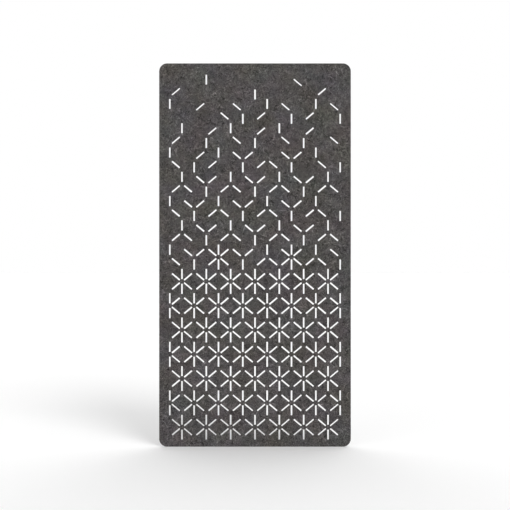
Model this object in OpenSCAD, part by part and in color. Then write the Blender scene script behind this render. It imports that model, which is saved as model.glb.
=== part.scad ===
// Hanging room divider panel: one board of pressed felt, cut through by a lattice of slots,
// that hangs from a flat bar concealed in its top edge.
// Millimetres, +Z up, front towards -Y. The origin is the middle of the top edge, and the
// board's middle plane is Y = 0.

/* [Board] */
// Width of the felt board
panel_w = 1200; // [700:10:1800]
// Height of the felt board
panel_h = 2400; // [1200:10:3000]
// Thickness of the felt board
panel_t = 12; // [10:0.5:25]
// Radius of the four corners
corner_r = 50; // [5:1:60]

/* [Slots] */
// Length of a slot
slot_l = 64; // [40:1:72]
// Width of a slot
slot_w = 10; // [4:0.5:14]
// Distance between two stars of one row
star_pitch = 152.6; // [146:0.1:220]
// Distance between two rows of stars
row_pitch = 152.3; // [146:0.1:220]
// Felt between a star's centre and the end of an upright slot
upright_gap = 14.5; // [11:0.5:20]
// Felt between a star's middle line and the end of a sloping slot
sloping_gap = 17.5; // [15:0.5:22]
// Angle of the sloping slots from the horizontal
slope = 40; // [34:0.5:42]
// How far the sloping slots aim past the star's centre
slope_offset = 3; // [0:0.5:4]
// Top edge to the uppermost row of stars
top_margin = 147; // [140:1:200]
// Least distance from the lowest row of stars to the bottom edge
bottom_margin = 118; // [105:1:200]
// Least distance from the outer stars to the side edges
side_margin = 60; // [30:1:120]
// Rows of three-armed stars below the thinned-out rows
y_rows = 4; // [0:1:6]

/* [Hanger bar] */
// Thickness of the bar
bar_t = 4; // [3:0.5:5]
// Height of the bar
bar_h = 30; // [25:1:34]
// Side edge of the board to the end of the bar
bar_inset = 100; // [70:5:140]
// Top edge of the board to the top of the bar
bar_depth = 5; // [3:0.5:7]
// Bond line between felt and metal
bond_gap = 0.3; // [0.2:0.05:0.5]

/* [Hanging sleeves] */
// Side edge of the board to the axis of a sleeve
sleeve_inset = 150; // [120:5:300]
// Outer diameter of a sleeve
sleeve_d = 8; // [7.5:0.1:8.5]
// Length of the threaded head above the fork
head_l = 14; // [11:0.5:16]
// Length of the fork that straddles the bar
fork_l = 14; // [10:0.5:16]
// Drilled diameter for the M5 thread
thread_d = 4.2; // [3.3:0.1:5]
// Countersink at the thread's mouth and chamfer on the sleeve's rim
edge_break = 0.5; // [0.2:0.1:0.8]
// Clearance between sleeve and bar, on each side
sleeve_fit = 0.1; // [0.05:0.05:0.3]

/* [Cross pins] */
// Diameter of a pin
pin_d = 3; // [2:0.5:4]
// Clearance round a pin
pin_fit = 0.05; // [0.02:0.01:0.1]

/* [Hidden] */
$fn = 48;

FELT = "#504e4c";
ALUMINIUM = "#c8cacc";
STEEL = "#8d9196";

// How far a cutter runs past the face it leaves through
through = 1;

// Bar, groove and sleeves
bar_l = panel_w - 2 * bar_inset;
groove_depth = bar_depth + bar_h + bond_gap;
sleeve_l = head_l + fork_l;
sleeve_x = panel_w / 2 - sleeve_inset;
pin_z = -head_l - fork_l / 2;
// A pin stays inside the sleeve's round outside
pin_l = 2 * sqrt(pow(sleeve_d / 2, 2) - pow(pin_d / 2, 2)) - 2 * pin_fit;

// Lattice: columns are half a pitch apart and are counted from the left, rows from the top
column_pitch = star_pitch / 2;
last_column = 2 * floor((panel_w / 2 - side_margin) / column_pitch);
last_row = floor((panel_h - top_margin - bottom_margin) / row_pitch);

// The six slots of a star
N = 0;
NE = 1;
SE = 2;
S = 3;
SW = 4;
NW = 5;
WHOLE_STAR = [N, NE, SE, S, SW, NW];
UPRIGHT_Y = [NE, S, NW];
HANGING_Y = [N, SE, SW];

// The uppermost rows, thinned out by hand: each star's slots, from left to right
THINNED_ROWS = [
    [[SW], [N], [], [S], [], [NW], [SW]],
    [[N], [NE], [SE], [S, NW], [N, SW], [S, NW], [N, SW], [S, NW]],
    [[N, SW], [NE, S], [N, SE], [NE, S], [N, SE], [NE, S], [SE]],
    [[N, SE], [NE, S], [N, SW], [NE, S, NW], [SE, SW], [NE, S, NW], [N, SE], [S]]
];

// In the lowest row of three-armed stars, every third one is still whole
function still_whole(column, row) =
    row == len(THINNED_ROWS) + y_rows - 1 && column % 6 == 4;

// One slot is left out by the right edge, in the second row of three-armed stars
function left_out(column, row, arm) =
    row == len(THINNED_ROWS) + 1 && column == last_column && arm == NW;

function star_slots(column, row) =
    let (pair = floor(column / 2))
    row < len(THINNED_ROWS) ? THINNED_ROWS[row][pair % len(THINNED_ROWS[row])]
    : row >= len(THINNED_ROWS) + y_rows || still_whole(column, row) ? WHOLE_STAR
    : pair % 2 == 0 ? HANGING_Y : UPRIGHT_Y;

// The outer stars have no slots that point out of the board
function points_out(column, arm) =
    column == 0 && (arm == NW || arm == SW)
    || column == last_column && (arm == NE || arm == SE);

// A slot of the star at the origin, in the plane of the board
module slot(arm) {
    up = arm == N || arm == NE || arm == NW;
    upright = arm == N || arm == S;
    right = arm == NE || arm == SE;
    mirror([0, up ? 0 : 1])
        if (upright)
            translate([-slot_w / 2, upright_gap]) square([slot_w, slot_l]);
        else
            mirror([right ? 0 : 1, 0])
                translate([0, -slope_offset])
                    rotate(slope)
                        translate([sloping_gap, -slot_w / 2]) square([slot_l, slot_w]);
}

module slot_lattice() {
    for (row = [0 : last_row])
        for (column = [(row + 1) % 2 : 2 : last_column])
            translate([(column - last_column / 2) * column_pitch, -top_margin - row * row_pitch])
                for (arm = star_slots(column, row))
                    if (!points_out(column, arm) && !left_out(column, row, arm))
                        slot(arm);
}

module rounded_rectangle(w, h, r) {
    translate([-w / 2 + r, -h]) square([w - 2 * r, h]);
    translate([-w / 2, -h + r]) square([w, h - 2 * r]);
    for (x = [-w / 2 + r, w / 2 - r], y = [-r, -h + r])
        translate([x, y]) circle(r);
}

// A strip with round ends, centred on the origin
module stadium(l, w) {
    square([l - w, w], center = true);
    for (x = [-(l - w) / 2, (l - w) / 2])
        translate([x, 0]) circle(d = w);
}

// Straight down from z = top to z = bottom
module sunk(top, bottom) {
    translate([0, 0, bottom]) linear_extrude(top - bottom) children();
}

module at_sleeves() {
    for (side = [-1, 1])
        translate([side * sleeve_x, 0, 0]) children();
}

module felt_panel() {
    color(FELT)
        difference() {
            rotate([90, 0, 0])
                translate([0, 0, -panel_t / 2])
                    linear_extrude(panel_t)
                        difference() {
                            rounded_rectangle(panel_w, panel_h, corner_r);
                            slot_lattice();
                        }
            sunk(through, -groove_depth) stadium(bar_l + 2 * bond_gap, bar_t + 2 * bond_gap);
            at_sleeves()
                sunk(through, -sleeve_l - bond_gap) circle(d = sleeve_d + 2 * bond_gap);
        }
}

// The sleeves' heads sit in notches in the bar's top, and a pin crosses it below each
module hanger_bar() {
    color(ALUMINIUM)
        difference() {
            sunk(-bar_depth, -bar_depth - bar_h) stadium(bar_l, bar_t);
            at_sleeves() {
                sunk(0, -head_l) square(sleeve_d + 2 * sleeve_fit, center = true);
                pin_hole();
            }
        }
}

module pin_hole() {
    translate([0, 0, pin_z])
        rotate([90, 0, 0])
            cylinder(d = pin_d + 2 * pin_fit, h = sleeve_d + 2 * through, center = true);
}

// A threaded head over a fork
module hanging_sleeve() {
    color(STEEL)
        difference() {
            rotate_extrude()
                polygon([
                    [thread_d / 2 + edge_break, 0],
                    [sleeve_d / 2 - edge_break, 0],
                    [sleeve_d / 2, -edge_break],
                    [sleeve_d / 2, -sleeve_l],
                    [thread_d / 2, -sleeve_l],
                    [thread_d / 2, -edge_break]
                ]);
            sunk(-head_l, -sleeve_l - through)
                square([sleeve_d + 2 * through, bar_t + 2 * sleeve_fit], center = true);
            pin_hole();
        }
}

module cross_pin() {
    color(STEEL)
        translate([0, 0, pin_z])
            rotate([90, 0, 0])
                cylinder(d = pin_d, h = pin_l, center = true);
}

// The stretch of filler between x = from and x = to, cut round to clear the sleeves
module filler_strip(from, to) {
    color(FELT)
        sunk(0, -bar_depth)
            difference() {
                intersection() {
                    stadium(bar_l, bar_t);
                    translate([from, -bar_t]) square([to - from, 2 * bar_t]);
                }
                for (x = [-sleeve_x, sleeve_x])
                    translate([x, 0]) circle(d = sleeve_d + 2 * bond_gap);
            }
}

felt_panel();
hanger_bar();
translate([-sleeve_x, 0, 0]) hanging_sleeve();  // left_hanging_sleeve
translate([sleeve_x, 0, 0]) hanging_sleeve();  // right_hanging_sleeve
translate([-sleeve_x, 0, 0]) cross_pin();  // left_cross_pin
translate([sleeve_x, 0, 0]) cross_pin();  // right_cross_pin
filler_strip(-bar_l / 2, -sleeve_x);  // left_filler_strip
filler_strip(-sleeve_x, sleeve_x);  // middle_filler_strip
filler_strip(sleeve_x, bar_l / 2);  // right_filler_strip
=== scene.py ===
"""Looks of the hanging room divider panel: a slotted board of pressed melange felt that hangs
from two threaded sleeves hidden in its top edge. Metres, +Z up, the front faces -Y."""

import math
import random

import bpy
import bmesh
import numpy as np
from mathutils import Matrix, Vector, geometry, noise


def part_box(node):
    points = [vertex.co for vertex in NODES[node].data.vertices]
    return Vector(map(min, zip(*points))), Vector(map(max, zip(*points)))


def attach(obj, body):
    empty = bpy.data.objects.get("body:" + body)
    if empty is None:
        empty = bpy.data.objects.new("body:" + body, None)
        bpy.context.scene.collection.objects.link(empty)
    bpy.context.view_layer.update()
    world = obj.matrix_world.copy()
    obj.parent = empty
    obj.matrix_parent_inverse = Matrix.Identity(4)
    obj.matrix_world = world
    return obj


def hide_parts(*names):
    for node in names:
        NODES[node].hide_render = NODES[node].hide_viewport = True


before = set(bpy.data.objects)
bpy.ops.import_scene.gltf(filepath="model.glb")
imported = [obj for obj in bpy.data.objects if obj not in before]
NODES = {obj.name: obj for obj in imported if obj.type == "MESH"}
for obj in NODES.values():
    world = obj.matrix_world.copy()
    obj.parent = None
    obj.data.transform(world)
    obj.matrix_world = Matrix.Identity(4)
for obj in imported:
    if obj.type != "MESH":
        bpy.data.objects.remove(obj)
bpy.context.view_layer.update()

MM = 0.001
Y, Z = 1, 2
# Points nearer than this are one
TOUCH = 1e-6
# A corner that turns further than this is a real one, and not part of a curve
SHARP_TURN = math.radians(35)

BOARD_LOW, BOARD_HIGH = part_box("felt_panel")
BOARD_T = BOARD_HIGH.y - BOARD_LOW.y

scene = bpy.context.scene


def add_object(name, data):
    thing = bpy.data.objects.new(name, data)
    scene.collection.objects.link(thing)
    return thing


# ------------------------------------------------------------------ camera

# The photograph is exactly frontal, from about 4.1 m, and level with the middle of the board
CAMERA_DISTANCE = 4.124
LENS_MM, SENSOR_MM = 46.5, 36
CAMERA_REACH = 200

camera = add_object("camera", bpy.data.cameras.new("camera"))
camera.data.lens = LENS_MM
camera.data.sensor_width = SENSOR_MM
camera.data.clip_end = CAMERA_REACH
camera.location = (0, BOARD_LOW.y - CAMERA_DISTANCE, (BOARD_LOW.z + BOARD_HIGH.z) / 2)
camera.rotation_euler = (math.pi / 2, 0, 0)
scene.camera = camera
scene.view_settings.view_transform = "Standard"


# ------------------------------------------------------------------ node graphs

class Graph:
    """A node tree that is written as sums and products of sockets."""

    def __init__(self, tree):
        self.tree = tree

    def node(self, kind, inputs=None, **settings):
        node = self.tree.nodes.new(kind)
        for key, value in settings.items():
            setattr(node, key, value)
        for key, value in (inputs or {}).items():
            self.put(node.inputs[key], value)
        return node

    def put(self, socket, value):
        if isinstance(value, bpy.types.NodeSocket):
            self.tree.links.new(value, socket)
        else:
            socket.default_value = value

    def math(self, operation, *values):
        inputs = dict(enumerate(values))
        return self.node("ShaderNodeMath", inputs, operation=operation).outputs[0]

    def add(self, *values):
        total = values[0]
        for value in values[1:]:
            total = self.math("ADD", total, value)
        return total

    def mul(self, *values):
        product = values[0]
        for value in values[1:]:
            product = self.math("MULTIPLY", product, value)
        return product

    def vector(self, operation, *values):
        inputs = dict(enumerate(values))
        return self.node("ShaderNodeVectorMath", inputs, operation=operation).outputs[0]

    def combine(self, x, y, z):
        return self.node("ShaderNodeCombineXYZ", {0: x, 1: y, 2: z}).outputs[0]

    def grey(self, value):
        return self.combine(value, value, value)

    def split(self, vector):
        return self.node("ShaderNodeSeparateXYZ", {0: vector}).outputs

    def noise(self, place, scale, detail=0.0, rough=0.5):
        """Noise around 0, from about -0.5 to 0.5."""
        inputs = {"Vector": place, "Scale": scale, "Detail": detail, "Roughness": rough}
        fac = self.node("ShaderNodeTexNoise", inputs).outputs["Fac"]
        return self.math("SUBTRACT", fac, 0.5)

    def ramp(self, value, low, high, out_low=0.0, out_high=1.0):
        """Runs smoothly from out_low to out_high while value goes from low to high."""
        inputs = {
            "Value": value, "From Min": low, "From Max": high, "To Min": out_low, "To Max": out_high
        }
        return self.node("ShaderNodeMapRange", inputs, interpolation_type="SMOOTHSTEP").outputs[0]

    def bump(self, bsdf, height, strength, distance):
        inputs = {"Height": height, "Strength": strength, "Distance": distance}
        self.put(bsdf.inputs["Normal"], self.node("ShaderNodeBump", inputs).outputs[0])


def new_material(name):
    material = bpy.data.materials.new(name)
    material.use_nodes = True
    graph = Graph(material.node_tree)
    place = graph.node("ShaderNodeTexCoord").outputs["Object"]
    return material, graph, material.node_tree.nodes["Principled BSDF"], place


# ------------------------------------------------------------------ floor and light

FLOOR_HALF = 40.0
FLOOR_GAP = 0.3 * MM
# It throws little light back, so the board is almost as light at its foot as further up
FLOOR_ALBEDO = 0.30
# What the camera sees is white where no shadow falls
FLOOR_WHITE = 1.01

floor_z = BOARD_LOW.z - FLOOR_GAP
floor_mesh = bpy.data.meshes.new("floor")
floor_mesh.from_pydata([
    (x * FLOOR_HALF, y * FLOOR_HALF, floor_z) for x, y in ((-1, -1), (1, -1), (1, 1), (-1, 1))
], [], [(0, 1, 2, 3)])
floor = add_object("floor", floor_mesh)
material, g, bsdf, _ = new_material("floor")
seen = g.node("ShaderNodeLightPath").outputs["Is Camera Ray"]
white = g.grey(g.ramp(seen, 0, 1, FLOOR_ALBEDO, FLOOR_WHITE))
diffuse = g.node("ShaderNodeBsdfDiffuse", {"Color": white})
material.node_tree.nodes.remove(bsdf)
g.put(material.node_tree.nodes["Material Output"].inputs["Surface"], diffuse.outputs[0])
floor_mesh.materials.append(material)

# A key light with soft edges from the front right
KEY_AZIMUTH, KEY_ELEVATION = math.radians(42), math.radians(47)
KEY_ANGLE = math.radians(27)
KEY_STRENGTH = 0.28
KEY_DISTANCE = 6
# Wide soft light from the right, from the left and from behind
SKY_RIGHT, SKY_LEFT, SKY_BACK = 1.55, 1.00, 1.16
# And from the front, so low that it hardly reaches the floor: its strength at the horizon, and
# the height at which it ends, as the Z of its direction
SKY_LOW, SKY_LOW_TOP = 4.5, 0.25

to_key = Vector((
    math.cos(KEY_ELEVATION) * math.sin(KEY_AZIMUTH),
    -math.cos(KEY_ELEVATION) * math.cos(KEY_AZIMUTH),
    math.sin(KEY_ELEVATION),
))
key = add_object("key_light", bpy.data.lights.new("key_light", "SUN"))
key.data.energy = KEY_STRENGTH * math.pi
key.data.angle = KEY_ANGLE
key.location = to_key * KEY_DISTANCE
key.rotation_euler = to_key.to_track_quat("Z", "Y").to_euler()

world = bpy.data.worlds.new("studio")
scene.world = world
world.use_nodes = True
g = Graph(world.node_tree)
world.node_tree.nodes.clear()
to_x, to_y, to_z = g.split(g.node("ShaderNodeTexCoord").outputs["Generated"])
from_right, from_left, from_back, from_front = (
    g.math("MAXIMUM", way, 0.0) for way in (to_x, g.mul(to_x, -1.0), to_y, g.mul(to_y, -1.0))
)
above_floor = g.math("GREATER_THAN", to_z, 0.0)
glow = g.add(
    g.mul(from_right, SKY_RIGHT),
    g.mul(from_left, SKY_LEFT),
    g.mul(from_back, SKY_BACK),
    g.mul(from_front, g.ramp(to_z, SKY_LOW_TOP, 0.0), above_floor, SKY_LOW),
)
path = g.node("ShaderNodeLightPath").outputs
mirrored = g.math("MAXIMUM", path["Is Glossy Ray"], path["Is Transmission Ray"])
seen = g.math("MAXIMUM", path["Is Camera Ray"], mirrored)
light = g.node("ShaderNodeBackground", {"Strength": glow})
backdrop = g.node("ShaderNodeBackground", {"Strength": 1.0})
for background in (light, backdrop):
    background.inputs["Color"].default_value = (1, 1, 1, 1)
both = g.node("ShaderNodeMixShader", {0: seen, 1: light.outputs[0], 2: backdrop.outputs[0]})
g.node("ShaderNodeOutputWorld", {"Surface": both.outputs[0]})


# ------------------------------------------------------------------ felt

FELT = (0.0855, 0.0791, 0.0774)
# A tone is written as the eye sees it, and this power makes it a share of light
EYE = 2.3
DARKEST_TONE = 0.3

# Patches in which fibre of another hue gathers: where their noise is taken, its scale and
# roughness, and what it adds to red, green and blue. The brown ones are darker, too.
BROWN = ((3.1, 0.0, 1.7), 4.8, 0.54, (0.28, 0.13, -0.28))
GREEN = ((8.3, 0.0, 4.9), 4.2, 0.60, (-0.19, 0.19, -0.19))
BROWN_TONE = -0.13

# Clouds of tone: scale, detail and strength
WIDE_CLOUDS = (7.0, 1.0, 0.27)
CLOUDS = ((36.0, 1.0, 0.28), (80.0, 1.0, 0.27), (210.0, 0.0, 0.80))
# Tufts and single hairs: scale of the pattern, length, width, bend, shift and strength
TUFTS = (
    (20.0, 0.060, 0.0066, 50.0, 1.0, 0.22),
    (23.0, 0.054, 0.0058, 60.0, 2.3, 0.22),
    (33.0, 0.040, 0.0050, 80.0, 3.9, 0.25),
    (37.0, 0.034, 0.0044, 90.0, 5.1, 0.25),
)
HAIRS = (
    (150.0, 0.011, 0.0005, 260.0, 6.7, 0.22),
    (120.0, 0.014, 0.0006, 200.0, 8.9, 0.22),
    (260.0, 0.007, 0.0003, 420.0, 11.3, 0.30),
)
# Light and dark specks: where their noise is taken, its scale, from where to where it grows into
# a speck, and the speck's strength
SPECKS = (
    ((0.0, 0.0, 0.0), 135.0, 0.15, 0.27, 0.30),
    ((5.0, 5.0, 5.0), 125.0, 0.16, 0.27, -0.26),
)


def stroke(g, place, scale, length, width, bend, shift):
    """One arc of fibre in each cell of a loose pattern, light or dark: from about -1 to 1, and 0
    beside it."""
    at = g.vector("ADD", place, (shift, 0.0, 0.37 * shift))
    cell = g.node("ShaderNodeTexVoronoi", {"Vector": at, "Scale": scale}).outputs
    turn, bright, curve = g.split(cell["Color"])
    x, _, z = g.split(g.vector("SUBTRACT", at, cell["Position"]))
    cosine, sine = (g.math(part, g.mul(turn, math.pi)) for part in ("COSINE", "SINE"))
    u = g.add(g.mul(x, cosine), g.mul(z, sine))
    v = g.math("SUBTRACT", g.mul(z, cosine), g.mul(x, sine))
    bow = g.mul(g.math("SUBTRACT", curve, 0.5), g.mul(u, u), bend)
    line = g.ramp(g.math("ABSOLUTE", g.add(v, bow)), width, 0.2 * width)
    ends = g.ramp(g.math("ABSOLUTE", u), 0.5 * length, 0.25 * length)
    return g.mul(g.math("SUBTRACT", bright, 0.5), 2.0, line, ends)


def strokes(g, place, kinds):
    return g.add(*(g.mul(stroke(g, place, *kind[:-1]), kind[-1]) for kind in kinds))


def melange(g, place, tone):
    """Felt colour of that tone, with its patches of brown, green-grey and violet-grey."""
    brown, green = (
        g.noise(g.vector("ADD", place, at), scale, 3.0, rough)
        for at, scale, rough, _ in (BROWN, GREEN)
    )
    hue = g.combine(*(
        g.mul(g.add(1.0, g.mul(brown, more_brown), g.mul(green, more_green)), plain)
        for more_brown, more_green, plain in zip(BROWN[-1], GREEN[-1], FELT)
    ))
    tone = g.math("MAXIMUM", g.add(tone, g.mul(brown, BROWN_TONE)), DARKEST_TONE)
    return g.vector("MULTIPLY", hue, g.grey(g.math("POWER", tone, EYE)))


def felt_surface(g, bsdf, colour, fibre, height, depth):
    g.put(bsdf.inputs["Base Color"], colour)
    g.put(bsdf.inputs["Roughness"], g.add(0.92, g.mul(fibre, 0.2)))
    bsdf.inputs["Specular IOR Level"].default_value = 0.2
    bsdf.inputs["Sheen Weight"].default_value = 0.08
    bsdf.inputs["Sheen Roughness"].default_value = 0.6
    g.bump(bsdf, height, 0.6, depth)


def warped(g, place, scale, reach):
    """The place, drawn out and folded as the fibre was before pressing."""
    inputs = {"Vector": place, "Scale": scale, "Detail": 1.0}
    swirl = g.node("ShaderNodeTexNoise", inputs).outputs["Color"]
    pull = g.vector("MULTIPLY", g.vector("SUBTRACT", swirl, (0.5,) * 3), (reach,) * 3)
    return g.vector("ADD", place, pull)


def drawn_out(g, place, stretch, detail, rough=0.5):
    """Noise with those scales along X, Y and Z."""
    return g.noise(g.vector("MULTIPLY", place, stretch), 1.0, detail, rough)


def fibre_mat(g, place, fine, long):
    """Fibres pressed flat that cross in three directions: around 0, from about -1 to 1."""
    x, _, z = g.split(place)
    layers = []
    for k in range(3):
        turn = math.radians(25 + 60 * k)
        along = g.add(g.mul(x, math.cos(turn)), g.mul(z, math.sin(turn)))
        across = g.add(g.mul(z, math.cos(turn)), g.mul(x, -math.sin(turn)))
        at = g.combine(g.mul(across, fine), g.mul(along, long), 7.3 * k)
        layers.append(g.noise(at, 1.0, 1.0))
    return g.add(*layers)


def felt_face():
    """The pressed face of melange felt: clouds, tufts, specks and single fibres, light and dark."""
    material, g, bsdf, place = new_material("felt_face")
    folded = warped(g, place, 30.0, 0.02)
    clouds = g.add(*(
        g.mul(g.noise(at, scale, detail), strength)
        for at, (scale, detail, strength) in [(place, WIDE_CLOUDS)] + [(folded, c) for c in CLOUDS]
    ))
    specks = g.add(*(
        g.ramp(g.noise(g.vector("ADD", place, at), scale), low, high, 0.0, strength)
        for at, scale, low, high, strength in SPECKS
    ))
    # Tufts and specks gather in some places and thin out in others
    crowd = g.noise(g.vector("ADD", place, (2.0, 7.0, 6.0)), 11.0, 1.0)
    crowd = g.ramp(crowd, -0.16, 0.16, 0.6, 1.25)
    tufts, specks = g.mul(strokes(g, folded, TUFTS), crowd), g.mul(specks, crowd)
    hairs = strokes(g, folded, HAIRS)
    fibre = fibre_mat(g, folded, 1500.0, 170.0)
    tone = g.add(1.0, clouds, tufts, specks, hairs, g.mul(fibre, 0.55))
    height = g.add(g.mul(clouds, 0.8), tufts, g.mul(hairs, 0.8), g.mul(fibre, 0.5))
    felt_surface(g, bsdf, melange(g, place, tone), fibre, height, 0.8 * MM)
    return material


def felt_cut():
    """A cut edge of the felt, in which the fibres lie in thin layers along the board."""
    material, g, bsdf, place = new_material("felt_cut")
    folded = warped(g, place, 60.0, 0.0035)
    layers = drawn_out(g, folded, (70.0, 900.0, 70.0), 2.0, 0.6)
    bands = drawn_out(g, folded, (14.0, 260.0, 14.0), 1.0)
    fibre = drawn_out(g, folded, (900.0, 2600.0, 900.0), 2.0, 0.7)
    clouds = g.mul(g.noise(place, 95.0, 1.0), 0.45)
    tone = g.add(0.97, clouds, g.mul(layers, 0.5), g.mul(bands, 0.25), g.mul(fibre, 0.4))
    height = g.add(layers, g.mul(bands, 0.7), g.mul(fibre, 0.5))
    felt_surface(g, bsdf, melange(g, place, tone), fibre, height, 0.6 * MM)
    return material


# ------------------------------------------------------------------ metals

# Colour and roughness
ZINC_STEEL = ((0.60, 0.61, 0.63), 0.30)
GROUND_STEEL = ((0.52, 0.52, 0.52), 0.22)
SATIN_ALUMINIUM = ((0.72, 0.73, 0.74), 0.34)
MACHINING_SCALE = 9000.0


def metal(name, colour, rough, across):
    """Metal with fine machining lines: across gives a point's place across the lines."""
    material, g, bsdf, place = new_material(name)
    line = g.noise(g.combine(across(g, place), 0.0, 0.0), MACHINING_SCALE, 2.0, 0.6)
    stain = g.noise(place, 160.0, 3.0, 0.6)
    tone = g.add(1.0, g.mul(line, 0.18), g.mul(stain, 0.16))
    g.put(bsdf.inputs["Base Color"], g.vector("MULTIPLY", g.grey(tone), colour))
    bsdf.inputs["Metallic"].default_value = 1.0
    g.put(bsdf.inputs["Roughness"], g.add(rough, g.mul(line, 0.16), g.mul(stain, 0.2)))
    g.bump(bsdf, line, 0.3, 0.02 * MM)
    return material


def along_height(g, place):
    return g.split(place)[Z]


def round_axis(axis, centre):
    """The distance from the axis plus the way along it, so that the lines run round it on the
    ends and on the sides."""

    def across(g, place):
        parts = list(g.split(g.vector("SUBTRACT", place, centre)))
        along = parts.pop(axis)
        return g.add(g.math("SQRT", g.add(*(g.mul(part, part) for part in parts))), along)

    return across


# ------------------------------------------------------------------ outlines

# A CAD arc comes as chords no longer than this
ARC_CHORD = 9 * MM


def outlines(node, axis, height):
    """The loops round a CAD node's flat face at that height on the axis, the largest first:
    arrays of points in the face's plane, with the material on their left."""
    mesh = bmesh.new()
    mesh.from_mesh(NODES[node].data)
    bmesh.ops.remove_doubles(mesh, verts=mesh.verts, dist=TOUCH)
    plane = [i for i in range(3) if i != axis]
    # A list as well as a set, because a set has another order in each run
    flat = [f for f in mesh.faces if all(abs(v.co[axis] - height) < TOUCH for v in f.verts)]
    in_face = set(flat)
    after = {}
    for face in flat:
        for loop in face.loops:
            if not set(loop.edge.link_faces) <= in_face:
                after[loop.vert] = loop.link_loop_next.vert
    loops = []
    while after:
        at = next(iter(after))
        loop = []
        while at in after:
            loop.append([at.co[i] for i in plane])
            at = after.pop(at)
        loops.append(np.array(loop))
    mesh.free()
    if area(max(loops, key=lambda loop: abs(area(loop)))) < 0:
        loops = [loop[::-1] for loop in loops]
    return sorted(loops, key=lambda loop: (-abs(area(loop)), loop[:, 0].mean(), loop[:, 1].mean()))


def area(loop):
    x, y = loop.T
    return 0.5 * float(np.sum(x * np.roll(y, -1) - y * np.roll(x, -1)))


def unit(rows):
    return rows / np.maximum(np.linalg.norm(rows, axis=1), 1e-12)[:, None]


def soften(loop, chamfer, step, clear=0.0):
    """Cuts the corners off a loop by a trifle, rounds its arcs and divides its long edges.
    Points of an arc nearer than clear to a corner are left out."""
    before, after = unit(loop - np.roll(loop, 1, axis=0)), unit(np.roll(loop, -1, axis=0) - loop)
    cross = before[:, 0] * after[:, 1] - before[:, 1] * after[:, 0]
    turn = np.arctan2(cross, (before * after).sum(1))
    sharp = np.abs(turn) > SHARP_TURN
    points = []
    count = len(loop)
    for i in range(count):
        j = (i + 1) % count
        start = loop[i] + after[i] * chamfer * sharp[i]
        end = loop[j] - after[i] * chamfer * sharp[j]
        length = float(np.linalg.norm(end - start))
        bend = 0.0 if sharp[i] or sharp[j] else max(turn[i], turn[j], key=abs)
        arc = abs(bend) > 1e-3 and length < ARC_CHORD
        pieces = 2 if arc else max(1, round(length / step))
        out = np.array([after[i][1], -after[i][0]])
        for k in range(pieces):
            t = k / pieces
            sag = length / 2 * math.tan(bend / 4) * 4 * t * (1 - t) if arc else 0.0
            points.append(start + (end - start) * t + out * sag)
        if sharp[j] and chamfer:
            points.append(end)
    points = np.array(points)
    for corner in loop[sharp]:
        away = np.linalg.norm(points - corner, axis=1)
        points = points[(away < TOUCH) | (away >= clear)]
    return points


def inward(loop):
    """For each point, how far it moves when the edges beside it move by 1 into the material."""
    ahead = unit(np.roll(loop, -1, axis=0) - loop)
    left = np.stack([-ahead[:, 1], ahead[:, 0]], 1)
    back = np.roll(left, 1, axis=0)
    return (left + back) / (1 + (left * back).sum(1))[:, None]


def ways_of(loop):
    """The long and the short way of a slot, each with half the slot's extent along it."""
    sides = np.roll(loop, -1, axis=0) - loop
    long_way = sides[np.argmax(np.linalg.norm(sides, axis=1))]
    long_way = long_way / np.linalg.norm(long_way)
    for way in (long_way, np.array([-long_way[1], long_way[0]])):
        reach = loop @ way
        yield way, (reach.max() - reach.min()) / 2


def stadium(half_length, radius, segments):
    """A strip with round ends, centred on the origin, or a circle where half_length is radius."""
    points = []
    for end in (1, -1):
        for k in range(segments + 1):
            turn = math.pi * (k / segments - 0.5) + (0 if end > 0 else math.pi)
            x = end * (half_length - radius) + radius * math.cos(turn)
            points.append((x, radius * math.sin(turn)))
    if half_length - radius < TOUCH:
        points = [p for k, p in enumerate(points) if k % (segments + 1) < segments]
    return np.array(points)


# ------------------------------------------------------------------ soft boards

# How hollow the outer sides are, and how unevenly all sides are cut
HOLLOW = 0.12 * MM
CUT_UNEVEN = 0.16 * MM
# Points inside a face lie on a loose triangular grid, clear of the edges. The numbers are shares
# of the grid's spacing.
GRID_ROW, GRID_LOOSE, GRID_CLEAR = 0.866, 0.2, 0.45
# Dents of two sizes: how wide, share of the depth, and shift of the noise, to which the back
# adds its own
DENTS = ((0.085, 1.0, 0.0), (0.03, 0.4, 7.0))
BACK_SHIFT = 40.0

# The board's map: its width and height, the empty edge, and the room between front and back
UV_SIZE = 2.55
UV_EDGE = 0.02
UV_GAP = 0.03
# The sides lie outward of a face's rim, shortened so that they don't meet amid a slot
UV_SIDES = 0.8


def unevenness(x, y, size, shift):
    """Smooth noise from 0 to 1."""
    return 0.5 + 0.5 * noise.noise(Vector((x / size, y / size, shift)))


def dent_at(p, side, depth):
    """How deep the front (side 0) or the back (side 1) is dented there."""
    return sum(
        share * depth * unevenness(*p, size, shift + BACK_SHIFT * side)
        for size, share, shift in DENTS
    )


def grid_points(rng, low, high, spacing, holes):
    """Points inside a face. There are none if spacing is 0."""
    if not spacing:
        return np.empty((0, 2))
    points = []
    for r in range(1, int((high[1] - low[1]) / (spacing * GRID_ROW))):
        for c in range(int((high[0] - low[0]) / spacing) + 1):
            aside, along = (rng.uniform(-GRID_LOOSE, GRID_LOOSE) * spacing for _ in range(2))
            x = low[0] + (c + 0.5 * (r % 2)) * spacing + aside
            points.append((x, low[1] + r * spacing * GRID_ROW + along))
    points = np.array(points)
    margin = GRID_CLEAR * spacing
    keep = np.all((points > low + margin) & (points < high - margin), axis=1)
    for hole in holes:
        offset = points - hole.mean(0)
        near = [np.abs(offset @ way) < half + margin for way, half in ways_of(hole)]
        keep &= ~(near[0] & near[1])
    return points[keep]


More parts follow.
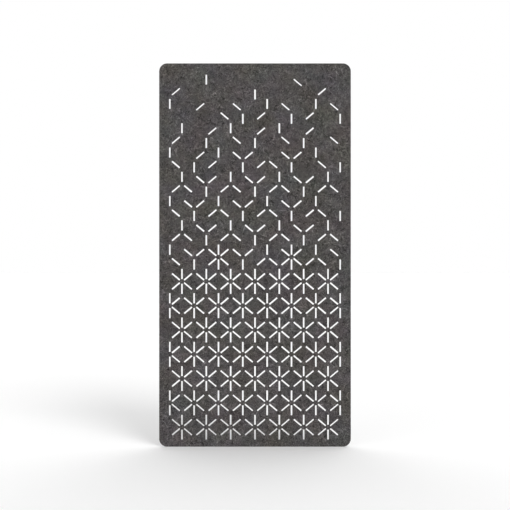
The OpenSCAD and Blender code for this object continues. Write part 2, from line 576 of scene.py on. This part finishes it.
def triangles_of(corners, counts):
    """Triangles between the outer loop and the holes, which are convex. The corners hold the
    points of all loops, as many as counts says, and then the points inside."""
    edges, owner = [], []
    for number, count in enumerate(counts):
        start = len(owner)
        edges += [(start + k, start + (k + 1) % count) for k in range(count)]
        owner += [number] * count
    owner += [-1] * (len(corners) - len(owner))
    inside_loops, tolerance = 1, 1e-5
    found = geometry.delaunay_2d_cdt(
        [Vector(p / MM) for p in corners], edges, [], inside_loops, tolerance
    )
    source = [ids[0] for ids in found[3]]
    faces = [[source[i] for i in face] for face in found[2]]
    return [f for f in faces if owner[f[0]] < 1 or not owner[f[0]] == owner[f[1]] == owner[f[2]]]


def soft_board(name, loops, thickness, centre, to_space, rounding, dent, swell=0.0, spacing=0.0):
    """A board with these outlines, softly rounded edges and dented faces. Its outer sides are
    faintly hollow, and the sides of its holes swell at mid-thickness. spacing is that of the
    points inside its faces. It comes as vertices, faces and one map place for each corner."""
    rng = random.Random(name)
    counts = [len(loop) for loop in loops]
    base = np.concatenate(loops)
    moves = np.concatenate([inward(loop) for loop in loops])
    in_hole = np.repeat([k > 0 for k in range(len(loops))], counts)
    rim = base + moves * rounding
    low, high = rim.min(0), rim.max(0)
    width = high[0] - low[0]
    inner = grid_points(rng, low, high, spacing, loops[1:])
    corners = np.concatenate([rim, inner])
    front = centre - thickness / 2

    # Inset and depth of each ring, from the front face to the middle of the side and on
    corner = rounding * (1 - math.sin(math.pi / 4))
    rings = [(rounding, 0.0), (corner, corner), (0.0, rounding), (HOLLOW, thickness / 2)]
    middle = len(rings) - 1
    unrolled = np.concatenate([[0], np.cumsum(np.linalg.norm(np.diff(rings, axis=0), axis=1))])
    rings += [(inset, thickness - depth) for inset, depth in rings[-2::-1]]

    vertices, ring_start = [], []
    for k, (inset, depth) in enumerate(rings):
        ring_start.append(len(vertices))
        for p, move, hole in zip(base, moves, in_hole):
            extra = rng.uniform(0, CUT_UNEVEN) if abs(k - middle) < 2 else 0.0
            if hole and k == middle:
                extra -= HOLLOW + swell
            x, y = p + move * (inset + extra)
            to_back = depth / thickness
            shift = dent_at(p, 0, dent) * (1 - to_back) - dent_at(p, 1, dent) * to_back
            vertices.append(to_space(x, y, front + depth + shift))
    face_start = []
    for side in (0, 1):
        face_start.append(len(vertices))
        for p in inner:
            depth = dent_at(p, side, dent)
            vertices.append(to_space(*p, front + (thickness - depth if side else depth)))

    def vertex(side, i):
        return ring_start[-side] + i if i < len(rim) else face_start[side] + i - len(rim)

    def on_map(side, p):
        x = high[0] - p[0] + width + UV_GAP if side else p[0] - low[0]
        return ((UV_EDGE + x) / UV_SIZE, (UV_EDGE + p[1] - low[1]) / UV_SIZE)

    faces, places = [], []
    triangles = triangles_of(corners, counts)
    for side in (0, 1):
        for face in triangles:
            order = face[::-1] if side else face
            faces.append([vertex(side, i) for i in order])
            places.append([on_map(side, corners[i]) for i in order])
    last = len(rings) - 1
    reach = [rounding - UV_SIDES * unrolled[min(n, last - n)] for n in range(last + 1)]
    start = 0
    for count in counts:
        for k in range(last):
            side = 0 if k < middle else 1
            for i in range(count):
                a, b = start + i, start + (i + 1) % count
                quad = [(k, a), (k + 1, a), (k + 1, b), (k, b)]
                faces.append([ring_start[n] + j for n, j in quad])
                places.append([on_map(side, base[j] + moves[j] * reach[n]) for n, j in quad])
        start += count
    return vertices, faces, places


# ------------------------------------------------------------------ objects

def mesh_object(name, vertices, faces, places=None):
    mesh = bpy.data.meshes.new(name)
    mesh.from_pydata([tuple(v) for v in vertices], [], faces)
    if places:
        layer = mesh.uv_layers.new(name="OFBake")
        corners = np.array([corner for face in places for corner in face], np.float32)
        layer.uv.foreach_set("vector", corners.ravel())
    return add_object(name, mesh)


def bmesh_object(name, mesh):
    data = bpy.data.meshes.new(name)
    mesh.to_mesh(data)
    mesh.free()
    return add_object(name, data)


def cut(thing, cutter):
    """Takes the cutter's space out of thing, for good, and uses the cutter up."""
    tool = thing.modifiers.new("cut", "BOOLEAN")
    tool.operation, tool.solver, tool.object = "DIFFERENCE", "EXACT", cutter
    bpy.context.view_layer.update()
    graph = bpy.context.evaluated_depsgraph_get()
    result = bpy.data.meshes.new_from_object(thing.evaluated_get(graph))
    thing.modifiers.clear()
    clean = bmesh.new()
    clean.from_mesh(result)
    bmesh.ops.triangulate(clean, faces=[f for f in clean.faces if len(f.verts) > 4])
    bmesh.ops.dissolve_degenerate(clean, edges=clean.edges, dist=TOUCH)
    clean.to_mesh(result)
    clean.free()
    old, thing.data = thing.data, result
    bpy.data.meshes.remove(old)
    bpy.data.objects.remove(cutter)


def finish(thing, materials, slot, *nodes, angle):
    """Shades the piece, with edges sharper than angle left sharp, and puts it into the frame."""
    for material in materials:
        if material.name not in thing.data.materials:
            thing.data.materials.append(material)
    thing.data.shade_smooth()
    thing.data.set_sharp_from_angle(angle=math.radians(angle))
    weighted = thing.modifiers.new("face_normals", "WEIGHTED_NORMAL")
    weighted.keep_sharp = True
    weighted.weight = 50
    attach(thing, "root")
    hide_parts(*nodes)


# ------------------------------------------------------------------ felt board

EDGE_ROUNDING = 0.9 * MM
EDGE_STEP = 13 * MM
CORNER_CUT = 0.5 * MM
FACE_SPACING = 24 * MM
FACE_DENT = 0.25 * MM
# How far the felt springs into a slot at mid-thickness
SLOT_SWELL = 0.15 * MM
BOND_GAP = 0.3 * MM
# How far a cutter runs past the top edge
ABOVE_EDGE = MM
GROOVE_SEGMENTS, HOLE_SEGMENTS = 12, 16
# The front and the back look along Y by at least this much, and the rest is a cut edge
FACES_ALONG_Y = 0.75
FELT_ANGLE = 40
# Where the cuts' sides lie on the board's map, and how much higher their floors lie
UV_CUTS = 2.45
UV_HOLES, UV_HOLE_STEP = 2.2, 0.1
UV_FLOORS = 0.045


def upright(x, z, y):
    return (x, y, z)


def prism(name, outline, top, bottom, uv_at):
    """An upright cutter, with its sides unrolled from uv_at on the board's map."""
    count = len(outline)
    vertices = [(x, y, z) for z in (top, bottom) for x, y in outline]
    sides = np.linalg.norm(np.roll(outline, -1, axis=0) - outline, axis=1)
    along = np.concatenate([[0], np.cumsum(sides)])
    faces, places = [], []
    for i in range(count):
        j = (i + 1) % count
        faces.append((i, count + i, count + j, j))
        u = [(uv_at[0] + along[i + k]) / UV_SIZE for k in (0, 1)]
        v = [(uv_at[1] + d) / UV_SIZE for d in (0, top - bottom)]
        places.append([(u[0], v[0]), (u[0], v[1]), (u[1], v[1]), (u[1], v[0])])
    left, front = outline.min(0)
    flat = [
        ((uv_at[0] + x - left) / UV_SIZE, (uv_at[1] + UV_FLOORS + y - front) / UV_SIZE)
        for x, y in outline
    ]
    faces += [tuple(range(count)), tuple(range(2 * count - 1, count - 1, -1))]
    places += [flat, flat[::-1]]
    return mesh_object(name, vertices, faces, places)


face_felt, cut_felt = felt_face(), felt_cut()

loops = [soften(loop, CORNER_CUT, EDGE_STEP) for loop in outlines("felt_panel", Y, BOARD_LOW.y)]
board = mesh_object("felt_board", *soft_board(
    "felt_board", loops, BOARD_T, 0.0, upright, EDGE_ROUNDING, FACE_DENT, SLOT_SWELL, FACE_SPACING
))
bar_low, bar_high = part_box("hanger_bar")
groove = stadium(bar_high.x + BOND_GAP, bar_high.y + BOND_GAP, GROOVE_SEGMENTS)
cut(board, prism("groove", groove, ABOVE_EDGE, bar_low.z - BOND_GAP, (UV_EDGE, UV_CUTS)))
for side, node in ((-1, "left_hanging_sleeve"), (1, "right_hanging_sleeve")):
    low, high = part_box(node)
    radius = (high.x - low.x) / 2 + BOND_GAP
    hole = stadium(radius, radius, HOLE_SEGMENTS) + np.array([(low.x + high.x) / 2, 0])
    uv_at = (UV_HOLES + UV_HOLE_STEP * side, UV_CUTS)
    cut(board, prism("sleeve_hole", hole, ABOVE_EDGE, low.z - BOND_GAP, uv_at))
finish(board, [face_felt, cut_felt], "felt", "felt_panel", angle=FELT_ANGLE)
for face in board.data.polygons:
    face.material_index = 0 if abs(face.normal.y) > FACES_ALONG_Y else 1


# ------------------------------------------------------------------ filler strips

STRIP_ROUNDING = 0.35 * MM
STRIP_DENT = 0.1 * MM
# Arc points nearer than this to a strip's corner would fold over its rounded edge
STRIP_CLEAR = 0.8 * MM


def downward(x, y, depth):
    return (x, y, -depth)


for side in ("left", "middle", "right"):
    node = side + "_filler_strip"
    low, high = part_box(node)
    loops = [soften(loop, 0.0, EDGE_STEP, STRIP_CLEAR) for loop in outlines(node, Z, high.z)]
    depth = high.z - low.z
    vertices, faces, _ = soft_board(
        node, loops, depth, depth / 2 - high.z, downward, STRIP_ROUNDING, STRIP_DENT
    )
    strip = mesh_object("felt_strip_" + side, vertices, faces)
    finish(strip, [cut_felt], "felt", node, angle=FELT_ANGLE)


# ------------------------------------------------------------------ sleeves and pins

# An M5 thread: pitch 0.8, from the 4.2 mm tapping hole out to the full 5 mm. Its ridges have
# these corners: share of the pitch and radius.
THREAD_PITCH, THREAD_MINOR, THREAD_MAJOR = 0.8 * MM, 2.1 * MM, 2.52 * MM
THREAD_PROFILE = (
    (0.0, THREAD_MINOR), (0.25, THREAD_MINOR), (0.5625, THREAD_MAJOR), (0.6875, THREAD_MAJOR)
)
THREAD_SEGMENTS = 48
# The tap starts two turns above the mouth and runs a little past the head
TAP_START, TAP_PAST = 1.6 * MM, 0.5 * MM
HEAD_LENGTH = 14 * MM
RIM_CHAMFER, FOOT_CHAMFER = 0.5 * MM, 0.2 * MM
# The countersink is a little wider than the thread at the mouth, and has sides at 45 degrees
SINK_WIDER, SINK_DEPTH = 0.1 * MM, 0.55 * MM
FORK_HALF = 2.1 * MM
PIN_HOLE = 1.55 * MM
# Half the length of the cutters that cross the sleeve
CUTTER_REACH = 0.01
TURNED_SEGMENTS, PIN_SEGMENTS = 96, 48
# A pin's ends are crowned: height of the crown, bevel, how far the rim falls back, and where the
# end starts
PIN_CROWN, PIN_BEVEL, PIN_FALL = 0.06 * MM, 0.35 * MM, 0.08 * MM
PIN_END = 1.3 * PIN_BEVEL
STEEL_ANGLE = 25


def lathe(name, profile, segments):
    """Turns points of (radius, height) round the Z axis. The first and last lie on the axis."""
    mesh = bmesh.new()
    turns = [2 * math.pi * k / segments for k in range(segments)]
    rows = [
        [mesh.verts.new((radius * math.cos(t), radius * math.sin(t), height)) for t in turns]
        if radius > TOUCH else [mesh.verts.new((0, 0, height))]
        for radius, height in profile
    ]
    for upper, lower in zip(rows, rows[1:]):
        for k in range(segments):
            j = (k + 1) % segments
            ring = (upper[k % len(upper)], lower[k % len(lower)])
            ring += (lower[j % len(lower)], upper[j % len(upper)])
            mesh.faces.new(list(dict.fromkeys(ring)))
    return bmesh_object(name, mesh)


def tap(name, profile, pitch, top, bottom, segments):
    """The space of a threaded hole, with the thread's ridges as its screw line."""
    steps = len(profile)
    turns = math.ceil((top - bottom) / pitch)
    mesh = bmesh.new()
    grid = []
    for i in range(segments):
        t = i / segments
        across, ahead = math.cos(2 * math.pi * t), math.sin(2 * math.pi * t)
        column = []
        for j in range(steps * turns + 1):
            share, radius = profile[j % steps]
            height = top - pitch * (j // steps + share + t)
            column.append(mesh.verts.new((radius * across, radius * ahead, height)))
        grid.append(column)
    # The last column joins the first one a turn further down
    for here, there in zip(grid, grid[1:] + [grid[0][steps:]]):
        for j in range(len(there) - 1):
            mesh.faces.new((here[j], here[j + 1], there[j + 1], there[j]))
    lid = mesh.verts.new((0, 0, top + pitch))
    foot = mesh.verts.new((0, 0, top - pitch * (turns + 1.5)))
    for edge in [e for e in mesh.edges if e.is_boundary]:
        upper = (edge.verts[0].co.z + edge.verts[1].co.z) / 2 > (top + bottom) / 2
        mesh.faces.new((edge.verts[0], edge.verts[1], lid if upper else foot))
    bmesh.ops.recalc_face_normals(mesh, faces=mesh.faces)
    return bmesh_object(name, mesh)


def block(name, low, high):
    mesh = bmesh.new()
    bmesh.ops.create_cube(mesh, size=1)
    low, high = Vector(low), Vector(high)
    for vertex in mesh.verts:
        vertex.co = [((low + high) / 2)[i] + vertex.co[i] * (high - low)[i] for i in range(3)]
    return bmesh_object(name, mesh)


def lay_along_y(thing, middle):
    """Takes what was turned round Z and lays it along Y, at that point."""
    thing.data.transform(Matrix.Translation(middle) @ Matrix.Rotation(math.pi / 2, 4, "X"))


def threaded_sleeve(name, radius, top, foot, pin_z):
    """A sleeve on the Z axis: a head with its thread, over a fork with its pin hole."""
    sleeve = lathe(name, [
        (0, top),
        (radius - RIM_CHAMFER, top),
        (radius, top - RIM_CHAMFER),
        (radius, foot + FOOT_CHAMFER),
        (radius - FOOT_CHAMFER, foot),
        (0, foot),
    ], TURNED_SEGMENTS)
    cut(sleeve, tap(
        "tap", THREAD_PROFILE, THREAD_PITCH, TAP_START, -HEAD_LENGTH - TAP_PAST, THREAD_SEGMENTS
    ))
    mouth = THREAD_MAJOR + SINK_WIDER
    cut(sleeve, lathe("countersink", [
        (0, MM), (mouth + MM, MM), (mouth - SINK_DEPTH, -SINK_DEPTH), (0, -SINK_DEPTH)
    ], TURNED_SEGMENTS))
    cut(sleeve, block(
        "fork", (-CUTTER_REACH, -FORK_HALF, foot - MM), (CUTTER_REACH, FORK_HALF, -HEAD_LENGTH)
    ))
    drill = lathe("drill", [
        (0, CUTTER_REACH), (PIN_HOLE, CUTTER_REACH), (PIN_HOLE, -CUTTER_REACH), (0, -CUTTER_REACH)
    ], PIN_SEGMENTS)
    lay_along_y(drill, (0, 0, pin_z))
    cut(sleeve, drill)
    return sleeve


def dowel_pin(name, radius, half_length):
    """A pin on the Z axis, its middle at the origin."""
    upper = [
        (0, half_length),
        (radius - PIN_BEVEL, half_length - PIN_CROWN),
        (radius - PIN_FALL, half_length - PIN_BEVEL),
        (radius, half_length - PIN_END),
    ]
    return lathe(name, upper + [(r, -height) for r, height in upper[::-1]], PIN_SEGMENTS)


for side in ("left", "right"):
    node = side + "_hanging_sleeve"
    low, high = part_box(node)
    pin_low, pin_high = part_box(side + "_cross_pin")
    centre = Vector(((low.x + high.x) / 2, 0, 0))
    at_pin = centre + Vector((0, 0, (pin_low.z + pin_high.z) / 2))

    radius = (high.x - low.x) / 2
    sleeve = threaded_sleeve("threaded_sleeve_" + side, radius, high.z, low.z, at_pin.z)
    sleeve.data.transform(Matrix.Translation(centre))
    steel = metal("zinc_steel_" + side, *ZINC_STEEL, round_axis(Z, centre))
    finish(sleeve, [steel], "sleeve_steel", node, angle=STEEL_ANGLE)

    radius, half_length = (pin_high.z - pin_low.z) / 2, (pin_high.y - pin_low.y) / 2
    pin = dowel_pin("dowel_pin_" + side, radius, half_length)
    lay_along_y(pin, at_pin)
    steel = metal("ground_steel_" + side, *GROUND_STEEL, round_axis(Y, at_pin))
    finish(pin, [steel], "pin_steel", side + "_cross_pin", angle=STEEL_ANGLE)


# ------------------------------------------------------------------ bar

BAR_BEVEL = 0.3 * MM
BAR_ANGLE = 30
# Neighbouring faces of the CAD that turn by less than this are one
FLAT_TURN = math.radians(1)

mesh = bmesh.new()
mesh.from_mesh(NODES["hanger_bar"].data)
bmesh.ops.remove_doubles(mesh, verts=mesh.verts, dist=TOUCH)
bmesh.ops.dissolve_limit(mesh, angle_limit=FLAT_TURN, verts=mesh.verts, edges=mesh.edges)
sharp = [e for e in mesh.edges if len(e.link_faces) == 2 and e.calc_face_angle() > SHARP_TURN]
bmesh.ops.bevel(
    mesh, geom=sharp, offset=BAR_BEVEL, segments=2, profile=0.5, affect="EDGES", clamp_overlap=True
)
bar = bmesh_object("aluminium_bar", mesh)
aluminium = metal("satin_aluminium", *SATIN_ALUMINIUM, along_height)
finish(bar, [aluminium], "bar_aluminium", "hanger_bar", angle=BAR_ANGLE)
